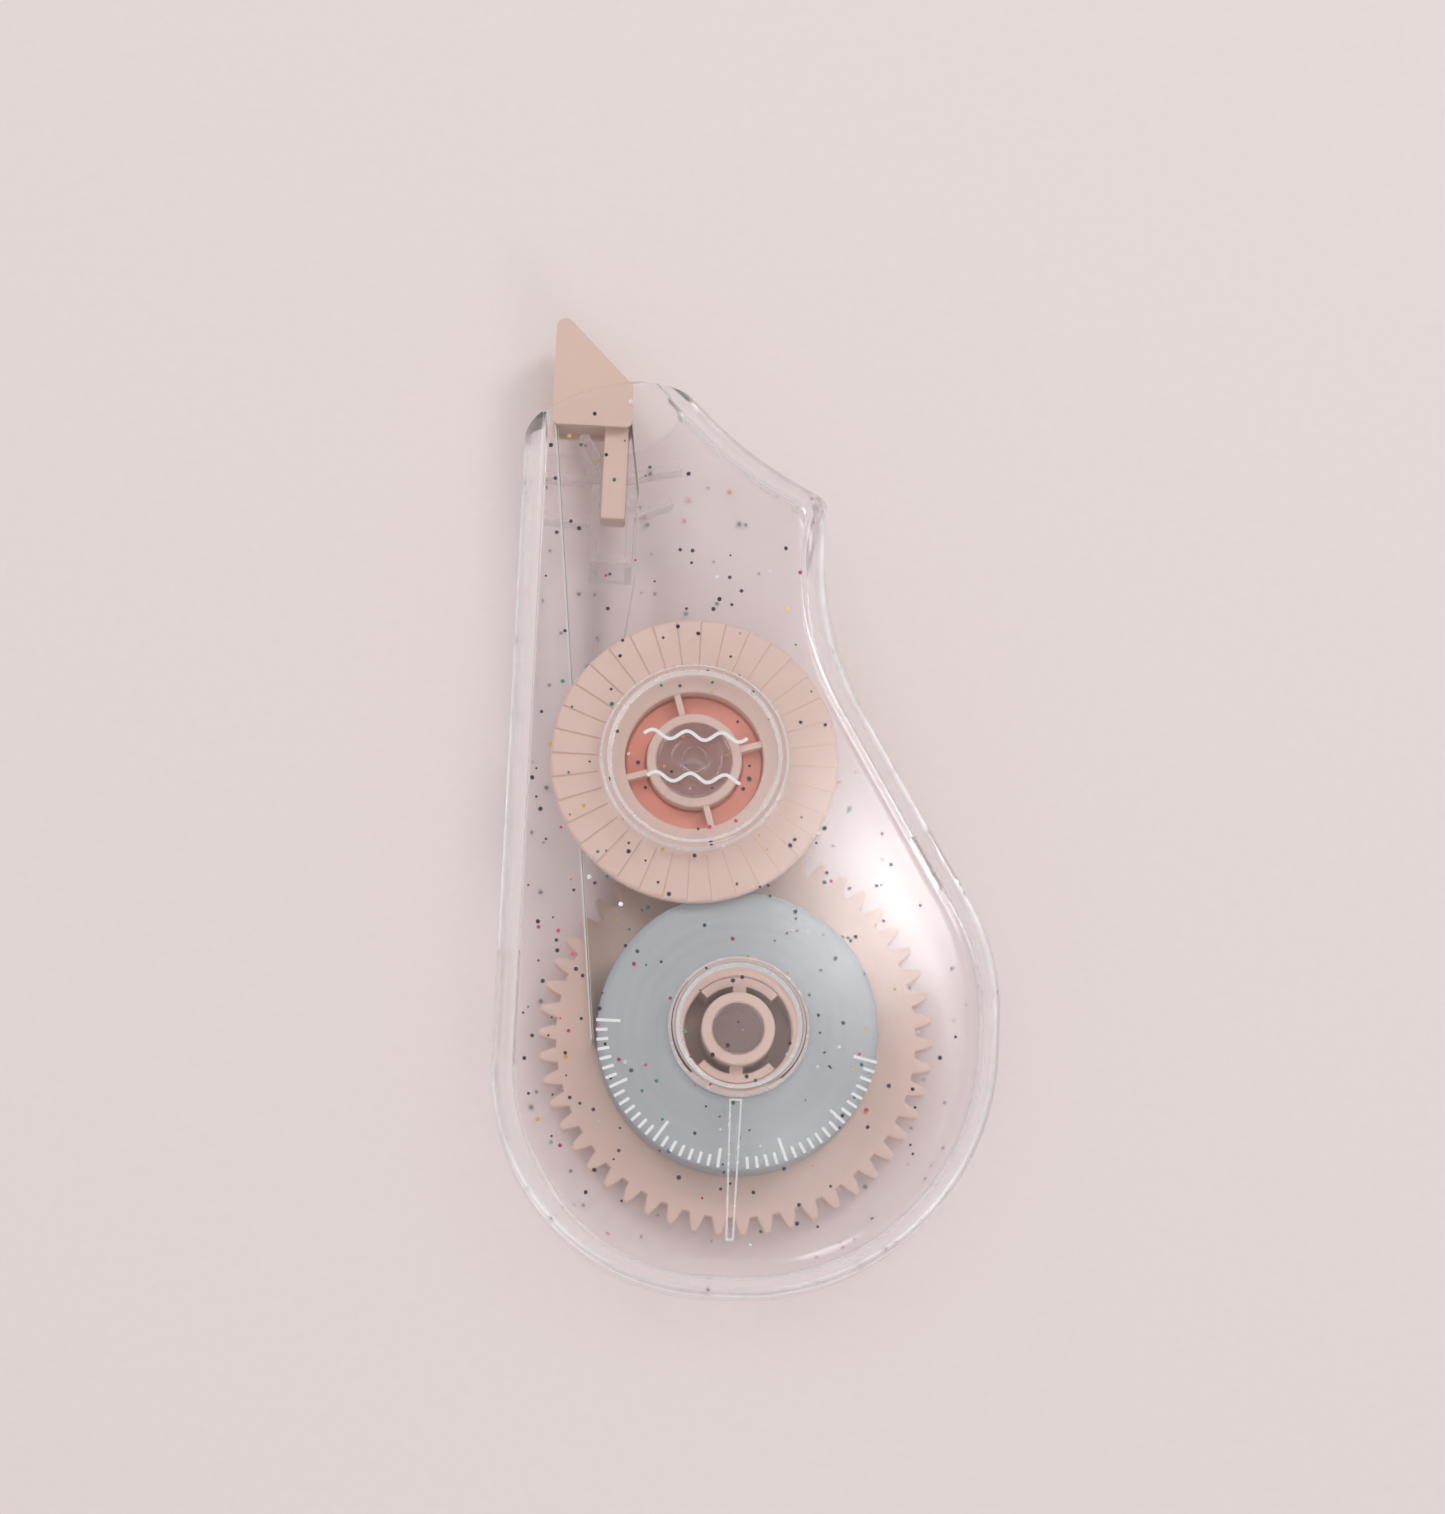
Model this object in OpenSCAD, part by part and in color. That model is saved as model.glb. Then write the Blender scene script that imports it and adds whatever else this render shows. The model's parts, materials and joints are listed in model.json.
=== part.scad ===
// Correction tape roller: clear two-part case, geared supply and take-up reels,
// and a wedge-shaped applicator tip that the tape runs over.
// It lies on its back face: +Y points along it to the tip and +Z out of its front.

/* [Case] */
// Radius of the round end about the supply axle
round_r = 25.8; // [25.4:0.1:28]
// Distance from the supply axle to the straight side
side_x = 24; // [23.6:0.1:25]
// Thickness of the case without its raised rings
case_t = 12.5; // [12.3:0.1:13.5]
// Thickness of the moulded walls
wall = 1.3; // [1:0.05:1.3]
// Height of the joint line between the two shells
joint_z = 6.25; // [5.5:0.05:7]
// How far the rounded edge sets in the front face
front_round = 4; // [3:0.1:4.2]
// How far the rounded edge sets in the back face
back_round = 1.6; // [1:0.1:2]
// Height of the round windows that stand out of the front face
ring_rise = 0.8; // [0.4:0.1:1]
// Outer radius of the window over the supply axle
supply_ring_r = 6.9; // [6.2:0.1:7.5]
// Outer radius of the window over the take-up reel
takeup_ring_r = 9.35; // [8.8:0.05:10]

/* [Gears] */
// Gear module
gear_m = 0.75; // [0.73:0.01:0.75]
// Teeth on the supply gear
supply_teeth = 50; // [48:1:50]
// Teeth on the take-up gear
takeup_teeth = 22; // [20:1:22]
// Thickness of both gears
gear_t = 2; // [1.6:0.1:2]
// Amount that each tooth is thinned so that the pair runs free
tooth_play = 0.1; // [0.05:0.01:0.15]
// Direction of the take-up axle from the supply axle
takeup_dir = 101.75; // [100:0.25:104]

/* [Reels] */
// Width of the correction tape
tape_w = 5; // [4.2:0.1:5]
// Outer radius of the full tape roll
roll_r = 13.8; // [9:0.1:14.5]
// Outer radius of the core that the tape is wound on
core_r = 6.6; // [6.2:0.1:7]
// Radius of the clear post under the supply gear
supply_post_r = 2.5; // [2:0.1:2.6]
// Radius of the clear post under the take-up reel
takeup_post_r = 3.7; // [3.2:0.1:3.8]
// Radius of the ribbed flange of the take-up reel
flange_r = 14.2; // [12:0.1:14.6]
// Outer radius of the drum that spent tape winds on
drum_r = 8; // [7.8:0.1:8.4]
// Number of radial ridges on the flange
ridges = 36; // [24:1:48]
// Radial clearance of a reel on its post
running_gap = 0.05; // [0.03:0.01:0.08]

/* [Applicator tip] */
// Distance from the supply axle to the pressing edge
tip_reach = 71.3; // [70:0.1:73]
// Radius of the pressing edge of the side guides
tip_r = 0.9; // [0.6:0.1:1.2]
// Thickness of each side guide
guide_t = 0.6; // [0.4:0.1:0.7]
// Thickness of the tape strips
strip_t = 0.15; // [0.12:0.01:0.2]

/* [Hidden] */
$fn = 96;

// The supply axle's place when the origin is under the middle of the whole object
supply_at = [(side_x - round_r) / 2, (round_r - tip_reach) / 2];
supply_pitch_r = gear_m * supply_teeth / 2;
takeup_pitch_r = gear_m * takeup_teeth / 2;
axle_gap = supply_pitch_r + takeup_pitch_r;
takeup_at = axle_gap * [cos(takeup_dir), sin(takeup_dir)];

// Heights of the layers, from the back face
gear_z = wall + 0.5;
gear_top = gear_z + gear_t;
tape_z = gear_top + 0.3;
tape_top = tape_z + tape_w;
core_top = tape_top + 0.2;
flange_z = tape_top + 0.4;
flange_t = 1;
ridge_h = 0.25;
thrust_z = wall + 0.15;
roof_z = case_t - wall;
hub_top = roof_z - 0.6;
eps = 0.01;

// Sizes inside the reels
clutch_ring_r = 3.6;
core_bore_r = 5.3;
arm_out_r = core_bore_r - running_gap;
spool_hub_r = 4.7;
post_bore_r = 1.3;
window_r = 6.85;
wrap_r = drum_r + 0.6;
collar_top = flange_z - 1.1;

// Corners of the case outline round the supply axle: x, y, fillet radius, how the
// fillet changes as the outline shrinks, and how wide the rounding is along the edge
// that leaves the corner. The edges across the mouth are far out and get cut off.
outline_corners = [
    [-side_x, -round_r, 22, -1, 1],
    [round_r, -round_r, 25, -1, 1],
    [round_r, 8.8, 22, -1, 0.9],
    [6.2, 41.1, 35, -2, 0.4],
    [6.7, 54.2, 1.3, 0.3, 1.4],
    [-1.6, 58.6, 44, -7, 1.05],
    [-14, 70.5, 0.5, 0, 0],
    [-side_x, 70.5, 0.5, 0, 0.5]
];
mouth_centre = [-11.4, 46.3];
mouth_r = 18.1;

// Tip outline: a straight side, a 45 degree face and a foot inside the mouth
tip_left = -21.3;
tip_right = -13.3;
tip_foot_y = 60.2;
tip_peak_y = tip_reach + tip_r * (1 / tan(22.5) - 1);
tip_corners = [
    [tip_left, tip_foot_y, 0.6],
    [tip_right, tip_foot_y, 0.6],
    [tip_right, tip_peak_y - (tip_right - tip_left), 1],
    [tip_left, tip_peak_y, tip_r]
];
guide_rim = 0.55;

// Socket in the back shell for the stem of the tip
socket_low = [-16.9, 46];
socket_high = [-12.6, 54];
socket_wall = 0.7;
stem_gap = 0.2;
stem_t = 3.6;
stem_reach = 3;

function unit(v) = v / norm(v);
function inward(v) = [-v[1], v[0]];
function turn(a, b) = atan2(a[0] * b[1] - a[1] * b[0], a * b);
function xy(c) = [c[0], c[1]];
function wrap_i(list, i) = list[(i + len(list)) % len(list)];

// Corner i of a closed outline after each edge moves inwards by the inset and by its
// own share of the rounding
function moved(cs, i, inset, round) =
    let (p = xy(wrap_i(cs, i)),
         n0 = inward(unit(p - xy(wrap_i(cs, i - 1)))),
         n1 = inward(unit(xy(wrap_i(cs, i + 1)) - p)),
         s0 = inset + round * wrap_i(cs, i - 1)[4],
         s1 = inset + round * wrap_i(cs, i)[4],
         det = n0[0] * n1[1] - n0[1] * n1[0])
    p + [s0 * n1[1] - s1 * n0[1], s1 * n0[0] - s0 * n1[0]] / det;

// Points of the arc that rounds corner p between its neighbours
function fillet(before, p, after, r) =
    let (d0 = unit(p - before), d1 = unit(after - p), a = turn(d0, d1),
         steps = max(3, ceil(abs(a) * sqrt(r) / 28)),
         side = a > 0 ? 1 : -1,
         start = p - d0 * r * tan(abs(a) / 2),
         centre = start + inward(d0) * side * r)
    [for (k = [0 : steps])
        let (t = a * k / steps, v = start - centre)
        centre + [v[0] * cos(t) - v[1] * sin(t), v[0] * sin(t) + v[1] * cos(t)]];

function rounded(cs, inset, round = 0) =
    let (ps = [for (i = [0 : len(cs) - 1]) moved(cs, i, inset, round)])
    [for (i = [0 : len(cs) - 1])
        each fillet(wrap_i(ps, i - 1), ps[i], wrap_i(ps, i + 1),
                    max(0.2, cs[i][2] + cs[i][3] * (inset + round)))];

// The tip's outline with every edge moved inwards by the same amount
function tip_outline(inset) =
    rounded([for (c = tip_corners) [c[0], c[1], c[2], -1, 0]], inset);

// Inset of a rounded edge at the share u of its height
function round_in(r, u) = r * (1 - sqrt(1 - u * u));

// Half of a tooth's angle at radius r, from the involute of its base circle
function involute(a) = tan(a) - a * PI / 180;
function half_tooth(r, pitch_r) =
    let (base_r = pitch_r * cos(20), a = acos(min(1, base_r / r)),
         half_w = PI * gear_m / 4 - tooth_play / 2)
    (half_w / pitch_r + involute(20) - involute(a)) * 180 / PI;
function polar(r, a) = r * [cos(a), sin(a)];
function gear_points(teeth) =
    let (pitch_r = gear_m * teeth / 2, root_r = pitch_r - 1.25 * gear_m,
         rs = [root_r, root_r + 0.5 * gear_m, pitch_r, pitch_r + 0.5 * gear_m, pitch_r + gear_m])
    [for (i = [0 : teeth - 1])
        each concat([for (r = rs) polar(r, i * 360 / teeth - half_tooth(r, pitch_r))],
                    [for (k = [4 : -1 : 0])
                        polar(rs[k], i * 360 / teeth + half_tooth(rs[k], pitch_r))])];

// Closed outline of a strip of thickness t whose middle follows the points
function miter(ps, i) =
    let (d0 = unit(ps[max(i, 1)] - ps[max(i, 1) - 1]),
         d1 = unit(ps[min(i + 1, len(ps) - 1)] - ps[min(i + 1, len(ps) - 1) - 1]),
         n = unit(inward(d0) + inward(d1)))
    n / (n * inward(d0));
function ribbon(ps, t) =
    concat([for (i = [0 : len(ps) - 1]) ps[i] + miter(ps, i) * t / 2],
           [for (i = [len(ps) - 1 : -1 : 0]) ps[i] - miter(ps, i) * t / 2]);

// Where a strip from point q runs onto the left of a circle
function left_tangent(q, centre, r) =
    let (v = q - centre, a = atan2(v[1], v[0]) + acos(r / norm(v)))
    centre + polar(r, a);

// Route of the tape over the wedge, at the distance lift from the wedge's surface
wedge_r = tip_r - guide_rim;
edge_centre = [tip_left + tip_r, tip_reach - tip_r];
function edge_arc(lift, from, to) =
    [for (k = [0 : 6]) edge_centre + polar(wedge_r + lift, from + (to - from) * k / 6)];
strip_gap = 0.03;
liner_lift = strip_gap + strip_t / 2;
film_lift = liner_lift + strip_gap + strip_t;
function feed_route(lift) =
    let (foot = [tip_left + guide_rim - lift, tip_foot_y + 1])
    concat([left_tangent(foot, [0, 0], roll_r + 0.3 + lift), foot], edge_arc(lift, 180, 90));
heel = [tip_right - guide_rim + liner_lift, tip_corners[2][1] - 0.2];
socket_side = socket_high[0] + 0.4;
return_route = concat(
    edge_arc(liner_lift, 90, 45),
    [heel, [socket_side, socket_high[1]], [socket_side, socket_low[1]],
     left_tangent([socket_side, socket_low[1]], takeup_at, wrap_r + 0.3)]);

module at_supply() { translate(supply_at) children(); }
module at_takeup() { translate(supply_at + takeup_at) children(); }

module tube(r_out, r_in, z0, z1) {
    translate([0, 0, z0]) difference() {
        cylinder(r = r_out, h = z1 - z0);
        translate([0, 0, -eps]) cylinder(r = r_in, h = z1 - z0 + 2 * eps);
    }
}

// One slice of the case outline
module slice(inset, round, z0, z1) {
    translate([0, 0, z0]) linear_extrude(z1 - z0)
        polygon(rounded(outline_corners, inset, round));
}

// Rounded edge as slices between the given shares of its height
module round_slices(inset, shares, r, z_from, z_to) {
    for (k = [0 : len(shares) - 2]) {
        u = (shares[k] + shares[k + 1]) / 2;
        za = z_from + (z_to - z_from) * shares[k];
        zb = z_from + (z_to - z_from) * shares[k + 1];
        slice(inset, round_in(r, u), min(za, zb), max(za, zb));
    }
}

// Everything beyond the convex rim of the mouth
module mouth_cut() {
    translate([0, 0, -1]) difference() {
        translate([-side_x - 3, 55, 0]) cube([side_x - 3, 25, case_t + 2]);
        translate([mouth_centre[0], mouth_centre[1], -1]) cylinder(r = mouth_r, h = case_t + 4);
    }
}

// Straight rib of the given width standing on the inside of a shell
module rib(a, b, width, z0, z1) {
    translate([a[0], a[1], z0])
        rotate([0, 0, atan2(b[1] - a[1], b[0] - a[0])])
            translate([0, -width / 2, 0]) cube([norm(b - a), width, z1 - z0]);
}

module back_shell() {
    side_z = 2;
    scoop = [-16, 68.4];
    scoop_r = 9;
    rib_top = tape_z - 0.4;
    rib_w = 0.8;
    color([0.9, 0.86, 0.92, 0.4]) at_supply() {
        difference() {
            union() {
                slice(0, 0, side_z, joint_z);
                round_slices(0, [0, 0.5, 0.8, 1], back_round, side_z, 0);
            }
            slice(wall, 0.5, wall, side_z);
            slice(wall, 0, side_z, joint_z + 1);
            mouth_cut();
            // The mouth is cut lower in this shell, in a straight line and a hollow curve
            translate([scoop[0], scoop[1], -1]) cylinder(r = scoop_r, h = joint_z + 2);
            translate([-side_x - 1, scoop[1] - scoop_r, -1])
                cube([side_x + 1 + scoop[0], scoop_r, joint_z + 2]);
        }
        // Posts that the two gears turn on
        translate([0, 0, wall - eps]) cylinder(r = supply_post_r, h = roof_z - wall - 0.1);
        translate([takeup_at[0], takeup_at[1], 0])
            tube(takeup_post_r, post_bore_r, wall - eps, roof_z - 0.1);
        // Socket for the tip's stem
        difference() {
            translate([socket_low[0], socket_low[1], wall - eps])
                cube([socket_high[0] - socket_low[0], socket_high[1] - socket_low[1],
                      roof_z - wall - 0.8]);
            translate([socket_low[0] + socket_wall, socket_low[1] + socket_wall, wall + 1])
                cube([socket_high[0] - socket_low[0] - 2 * socket_wall,
                      socket_high[1] - socket_low[1], roof_z]);
        }
        // Tab beside the stem, and low ribs that stiffen the mouth
        rib([-18.1, 59.4], [-16.6, 56.8], 1, wall - eps, tape_top);
        rib([-23, 52.3], [socket_low[0] + 0.1, 51.7], rib_w, wall - eps, rib_top);
        rib([socket_high[0] - 0.1, 52.6], [-8.8, 54.4], rib_w, wall - eps, rib_top);
        rib([-23, 56.6], [-16, 56.1], rib_w, wall - eps, rib_top);
        rib([-16, 56.1], [-8, 58], rib_w, wall - eps, rib_top);
    }
}

module front_shell() {
    side_z = 7.5;
    inner_round = 0.6 * front_round;
    line_w = 1.2;
    line_end = round_r - front_round - 0.6;
    color([0.92, 0.88, 0.94, 0.4]) at_supply() {
        difference() {
            union() {
                slice(0, 0, joint_z, side_z);
                round_slices(0, [0, 0.4, 0.6, 0.76, 0.88, 0.96, 1], front_round, side_z, case_t);
                ring_window([0, 0], supply_ring_r, 1.1);
                ring_window(takeup_at, takeup_ring_r, 1.15);
                // Narrow line down the face from the supply window
                translate([-line_w / 2, -line_end, case_t - eps])
                    cube([line_w, line_end - supply_ring_r + 0.5, 0.3]);
            }
            slice(wall, 0, joint_z - 1, side_z);
            round_slices(wall, [0, 0.5, 0.75, 0.92, 1], inner_round, side_z, roof_z);
            mouth_cut();
        }
        // Pin that enters the hollow take-up post
        translate([takeup_at[0], takeup_at[1], roof_z - 3])
            cylinder(r = post_bore_r - 0.1, h = 3 + eps);
        catch([-side_x + wall, 7], [-side_x + wall, -4]);
        catch([17.1, 20.6], [20.1, 15.65]);
    }
}

// Catch on the inner wall between two points, with a tongue that reaches past the joint
module catch(a, b) {
    tongue = 1.5;
    side = unit([a[1] - b[1], b[0] - a[0]]) * (a[0] < 0 ? 1 : -1);
    rib(a, b, 1.6, joint_z + eps, joint_z + 2.5);
    rib(a + side * 0.5, b + side * 0.5, 0.7, joint_z - tongue, joint_z + 1);
}

// Raised clear disc with a sloped rim
module ring_window(at, r, slope) {
    translate([at[0], at[1], case_t - eps])
        cylinder(r1 = r, r2 = r - slope, h = ring_rise + eps);
}

module gear_disc(teeth, turned, bore_r, boss_r) {
    difference() {
        union() {
            rotate([0, 0, turned]) translate([0, 0, gear_z])
                linear_extrude(gear_t) polygon(gear_points(teeth));
            translate([0, 0, thrust_z]) cylinder(r = boss_r, h = gear_z - thrust_z + eps);
        }
        translate([0, 0, -1]) cylinder(r = bore_r, h = case_t);
    }
}

module supply_gear() {
    color([0.93, 0.74, 0.7]) at_supply()
        gear_disc(supply_teeth, takeup_dir, supply_post_r + running_gap, 5);
}

// Ring with two sprung anchor arms that press on the inside of the core
module clutch_hub() {
    web_w = 1.3;
    arm_w = 0.9;
    spread = 46;
    color([0.93, 0.74, 0.7]) at_supply() {
        tube(clutch_ring_r, supply_post_r + running_gap, gear_top, hub_top);
        for (a = [90, 270]) rotate([0, 0, a]) {
            translate([clutch_ring_r - 0.2, -web_w / 2, gear_top])
                cube([arm_out_r - arm_w - clutch_ring_r + 0.4, web_w, core_top - gear_top]);
            translate([0, 0, gear_top]) rotate([0, 0, -spread])
                rotate_extrude(angle = 2 * spread)
                    translate([arm_out_r - arm_w, 0]) square([arm_w, core_top - gear_top]);
        }
    }
}

module supply_core() {
    color([0.94, 0.77, 0.73]) at_supply() tube(core_r, core_bore_r, tape_z, core_top);
}

module tape_roll() {
    color([0.64, 0.67, 0.69]) at_supply() tube(roll_r, core_r, tape_z, tape_top);
}

module takeup_gear() {
    color([0.87, 0.5, 0.42]) at_takeup() {
        gear_disc(takeup_teeth, takeup_dir + 180 + 180 / takeup_teeth,
                  takeup_post_r + running_gap, 5.2);
        // Collar that stands in the spool's window, under its spokes
        tube(window_r - running_gap, spool_hub_r + running_gap, gear_top - eps, collar_top);
    }
}

module takeup_spool() {
    spoke_w = 0.65;
    ridge_w = 0.22;
    ridge_in = takeup_ring_r + 0.15;
    color([0.93, 0.74, 0.7]) at_takeup() {
        tube(spool_hub_r, takeup_post_r + running_gap, gear_top, flange_z + flange_t);
        tube(drum_r, window_r, gear_top, flange_z + eps);
        tube(flange_r, window_r, flange_z, flange_z + flange_t);
        for (k = [0 : 3]) rotate([0, 0, 17 + 90 * k])
            translate([spool_hub_r - 0.2, -spoke_w / 2, flange_z - 0.8])
                cube([window_r - spool_hub_r + 0.4, spoke_w, flange_t + 0.6]);
        for (k = [0 : ridges - 1]) rotate([0, 0, k * 360 / ridges])
            translate([ridge_in, -ridge_w / 2, flange_z + flange_t - eps])
                cube([flange_r - ridge_in - 0.15, ridge_w, ridge_h + eps]);
    }
}

module takeup_wrap() {
    color([0.9, 0.88, 0.84]) at_takeup() tube(wrap_r, drum_r, tape_z, tape_top);
}

// Wedge between two thin side guides, with a stem for the socket
module applicator_tip() {
    guide_gap = 0.1;
    back_z = tape_z - guide_gap - guide_t;
    front_z = tape_top + guide_gap;
    stem_z = (tape_z + tape_top - stem_t) / 2;
    stem_x = socket_low[0] + socket_wall + stem_gap;
    stem_w = socket_high[0] - socket_low[0] - 2 * (socket_wall + stem_gap);
    stem_y = socket_high[1] - stem_reach;
    color([0.91, 0.72, 0.63]) at_supply() {
        for (z = [back_z, front_z]) translate([0, 0, z])
            linear_extrude(guide_t) polygon(tip_outline(0));
        translate([0, 0, back_z + guide_t - eps])
            linear_extrude(front_z - back_z - guide_t + 2 * eps) polygon(tip_outline(guide_rim));
        translate([stem_x, stem_y, stem_z]) cube([stem_w, tip_foot_y + 1 - stem_y, stem_t]);
    }
}

module strip(points, t) {
    at_supply() translate([0, 0, tape_z]) linear_extrude(tape_w) polygon(ribbon(points, t));
}

module feed_liner() { color([0.86, 0.86, 0.84]) strip(feed_route(liner_lift), strip_t); }
module white_film() { color([0.98, 0.98, 0.98]) strip(feed_route(film_lift), strip_t); }
module return_liner() { color([0.86, 0.86, 0.84]) strip(return_route, strip_t); }

back_shell();
front_shell();
supply_gear();
clutch_hub();
supply_core();
tape_roll();
takeup_gear();
takeup_spool();
takeup_wrap();
applicator_tip();
feed_liner();
white_film();
return_liner();
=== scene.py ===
import json
import math
import random

import bmesh
import bpy
from mathutils import Matrix, Vector


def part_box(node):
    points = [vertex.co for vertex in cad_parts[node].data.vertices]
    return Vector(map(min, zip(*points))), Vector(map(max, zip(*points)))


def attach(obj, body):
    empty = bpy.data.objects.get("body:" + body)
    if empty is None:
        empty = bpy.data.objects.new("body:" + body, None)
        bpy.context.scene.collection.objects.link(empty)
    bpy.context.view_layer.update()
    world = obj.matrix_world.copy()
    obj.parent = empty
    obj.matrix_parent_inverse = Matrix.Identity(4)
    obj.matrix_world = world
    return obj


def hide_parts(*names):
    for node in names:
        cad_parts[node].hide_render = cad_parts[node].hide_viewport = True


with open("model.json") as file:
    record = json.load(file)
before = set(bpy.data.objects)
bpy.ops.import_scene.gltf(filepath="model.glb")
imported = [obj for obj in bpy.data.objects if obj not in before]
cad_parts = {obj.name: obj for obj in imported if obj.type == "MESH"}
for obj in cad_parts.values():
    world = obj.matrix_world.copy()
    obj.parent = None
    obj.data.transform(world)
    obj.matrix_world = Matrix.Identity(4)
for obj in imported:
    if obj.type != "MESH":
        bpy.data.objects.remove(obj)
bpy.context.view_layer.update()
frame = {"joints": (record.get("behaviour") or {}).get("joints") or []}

# Pieces are drawn in millimetres about their own axle, then put in place in metres.
mm = 0.001
scene = bpy.context.scene
joints = {joint["name"]: joint for joint in frame["joints"]}
supplyAxle = Vector(joints["supply_spin"]["pos_m"][:2]) / mm
takeupAxle = Vector(joints["takeup_spin"]["pos_m"][:2]) / mm
takeupFromSupply = takeupAxle - supplyAxle


def extent(node):  # radius and height range of a CAD node, in mm
    low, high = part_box(node)
    return {"radius": (high.x - low.x) / 2 / mm, "low": low.z / mm, "top": high.z / mm}


# ---- camera, floor and light

studio = {
    "cameraPlace": (-0.013904, -0.085956, 0.470056),
    "cameraTurn": (11.0335, -1.7782, 2.5414),
    "lens": 112.78,
    "floorSize": 3.0,
    "skyAbove": (1.0, 0.99, 0.985),
    "skyLevel": (0.62, 0.585, 0.585),
    "skyStrength": 0.66,
    "lamps": [  # name, place, aim, width, depth, watts
        ("windowLamp", (-0.30, 0.30, 0.55), (0, 0, 0), 0.22, 0.28, 0.62),
        ("rightLamp", (0.26, 0.24, 0.46), (0.01, 0, 0), 0.17, 0.20, 0.46),
        ("lowLamp", (0.20, -0.38, 0.42), (0, -0.01, 0), 0.14, 0.22, 0.26),
        ("faceLampWide", (0.046, 0.086, 0.52), (0.013, -0.003, 0), 0.034, 0.072, 0.028),
        ("faceLamp", (0.047, 0.084, 0.52), (0.013, -0.003, 0), 0.026, 0.056, 0.011),
        ("faceLampCore", (0.048, 0.082, 0.52), (0.013, -0.003, 0), 0.016, 0.040, 0.003),
        ("faceLampLow", (0.027, 0.0235, 0.52), (0.0105, -0.031, 0), 0.022, 0.012, 0.003),
    ],
}


def buildStudio():
    camera = bpy.data.objects.new("camera", bpy.data.cameras.new("camera"))
    camera.location = studio["cameraPlace"]
    camera.rotation_euler = [math.radians(a) for a in studio["cameraTurn"]]
    camera.data.lens = studio["lens"]
    camera.data.sensor_width = 36
    camera.data.clip_start = 0.01
    scene.collection.objects.link(camera)
    scene.camera = camera
    world = bpy.data.worlds.new("studio")
    world.use_nodes = True
    tree = world.node_tree
    sky = tree.nodes["Background"]
    sky.inputs["Strength"].default_value = studio["skyStrength"]
    heading = tree.nodes.new("ShaderNodeTexCoord")
    parts = tree.nodes.new("ShaderNodeSeparateXYZ")
    ramp = tree.nodes.new("ShaderNodeValToRGB")
    ramp.color_ramp.elements[0].position = 0.05
    ramp.color_ramp.elements[0].color = (*studio["skyLevel"], 1)
    ramp.color_ramp.elements[1].position = 0.85
    ramp.color_ramp.elements[1].color = (*studio["skyAbove"], 1)
    tree.links.new(heading.outputs["Generated"], parts.inputs[0])
    tree.links.new(parts.outputs["Z"], ramp.inputs[0])
    tree.links.new(ramp.outputs[0], sky.inputs["Color"])
    scene.world = world
    for name, place, aim, width, depth, watts in studio["lamps"]:
        lamp = bpy.data.lights.new(name, "AREA")
        lamp.shape = "ELLIPSE"
        lamp.size = width
        lamp.size_y = depth
        lamp.energy = watts
        holder = bpy.data.objects.new(name, lamp)
        holder.location = place
        holder.rotation_euler = (Vector(aim) - Vector(place)).to_track_quat("-Z", "Y").to_euler()
        scene.collection.objects.link(holder)
    bm = bmesh.new()
    bmesh.ops.create_grid(bm, x_segments=8, y_segments=8, size=studio["floorSize"] / 2)
    mesh = bpy.data.meshes.new("floor")
    bm.to_mesh(mesh)
    bm.free()
    floor = bpy.data.objects.new("floor", mesh)
    mesh.materials.append(floorLook())
    scene.collection.objects.link(floor)
    scene.view_settings.view_transform = "Standard"
    scene.cycles.transparent_max_bounces = 32
    scene.cycles.max_bounces = 24
    scene.cycles.transmission_bounces = 24
    scene.cycles.glossy_bounces = 12
    scene.cycles.caustics_reflective = False
    scene.cycles.caustics_refractive = False


# ---- materials

class Wire:  # a node's output that takes part in sums
    def __init__(self, look, socket):
        self.look = look
        self.socket = socket

    def worked(self, operation, first, second):
        return self.look.node("Math", {"operation": operation}, {0: first, 1: second})

    def __add__(self, other):
        return self.worked("ADD", self, other)

    def __sub__(self, other):
        return self.worked("SUBTRACT", self, other)

    def __rsub__(self, other):
        return self.worked("SUBTRACT", other, self)

    def __mul__(self, other):
        return self.worked("MULTIPLY", self, other)

    def __truediv__(self, other):
        return self.worked("DIVIDE", self, other)

    __radd__ = __add__
    __rmul__ = __mul__


class Look:  # one material, with the sockets that stay the same set on its shader
    def __init__(self, name, fixed):
        self.material = bpy.data.materials.new(name)
        self.material.use_nodes = True
        self.tree = self.material.node_tree
        self.shader = self.tree.nodes["Principled BSDF"]
        for socket, value in fixed.items():
            self.plug(self.shader.inputs[socket], value)
        self.place = self.node("TexCoord", {}, {}, "Object")

    def plug(self, socket, value):
        if isinstance(value, Wire):
            self.tree.links.new(value.socket, socket)
        elif socket.type == "RGBA":
            socket.default_value = (*value, 1)[:4]
        else:
            socket.default_value = value

    def node(self, kind, settings, sockets, output=0):
        made = self.tree.nodes.new("ShaderNode" + kind)
        for setting, value in settings.items():
            setattr(made, setting, value)
        for socket, value in sockets.items():
            self.plug(made.inputs[socket], value)
        return Wire(self, made.outputs[output])

    def mix(self, factor, first, second):
        return self.node("Mix", {"data_type": "RGBA"}, {0: factor, 6: first, 7: second}, 2)

    def noise(self, scale, detail=2.0, roughness=0.5):
        return self.node("TexNoise", {}, {"Vector": self.place, "Scale": scale,
                                          "Detail": detail, "Roughness": roughness})

    def bump(self, height, strength, distance):
        normal = self.node("Bump", {}, {"Height": height, "Strength": strength,
                                        "Distance": distance}, "Normal")
        self.plug(self.shader.inputs["Normal"], normal)

    def set(self, socket, value):
        self.plug(self.shader.inputs[socket], value)


def shade(red, green, blue):  # a colour from 0 to 255 as the shader reads it
    return tuple(((c / 255 + 0.055) / 1.055) ** 2.4 for c in (red, green, blue))


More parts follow.
